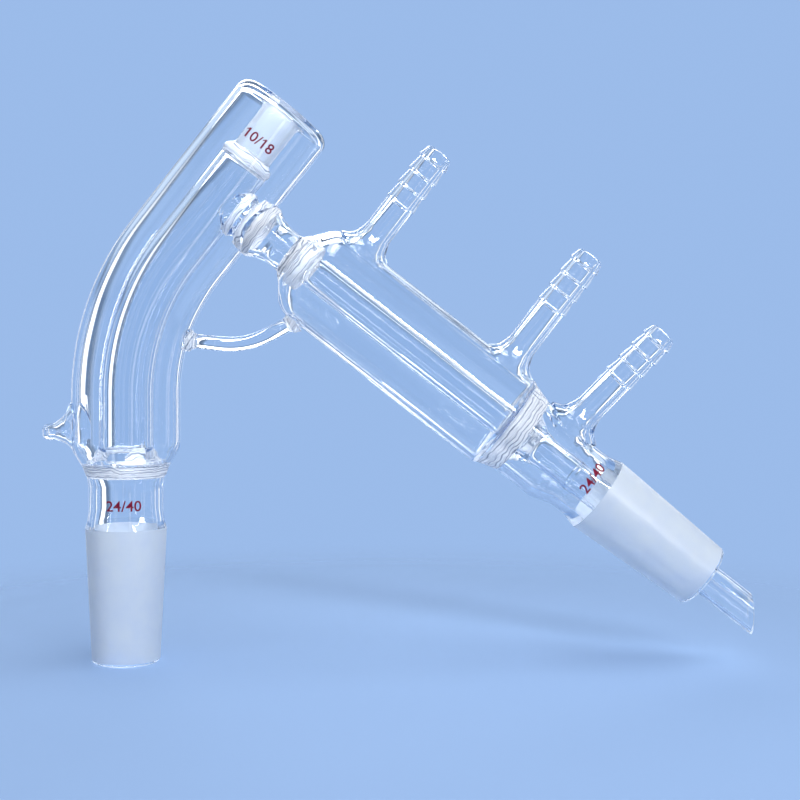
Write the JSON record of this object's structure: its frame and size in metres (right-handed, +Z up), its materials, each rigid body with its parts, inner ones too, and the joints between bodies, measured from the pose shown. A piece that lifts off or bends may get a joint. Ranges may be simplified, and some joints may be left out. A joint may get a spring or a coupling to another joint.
{
  "type": "short path distillation head",
  "caption": "Glass short path distillation head: jacketed bent vapour column with thermometer socket, water-jacketed condenser, vacuum adapter and two ground cones",
  "frame": {"origin": "centre of the lower end of the pot joint", "axes": "+Z up the pot joint's axis, +X towards the condenser and receiver joint, +Y completes the right-handed frame and is across the flat plane that all the branches lie in"},
  "size_m": [0.2111, 0.032, 0.1732],
  "materials": {
    "clear_glass": "clear fire-polished borosilicate"
  },
  "bodies": {
    "root": {"glass_head": "clear_glass"}
  },
  "joints": []
}
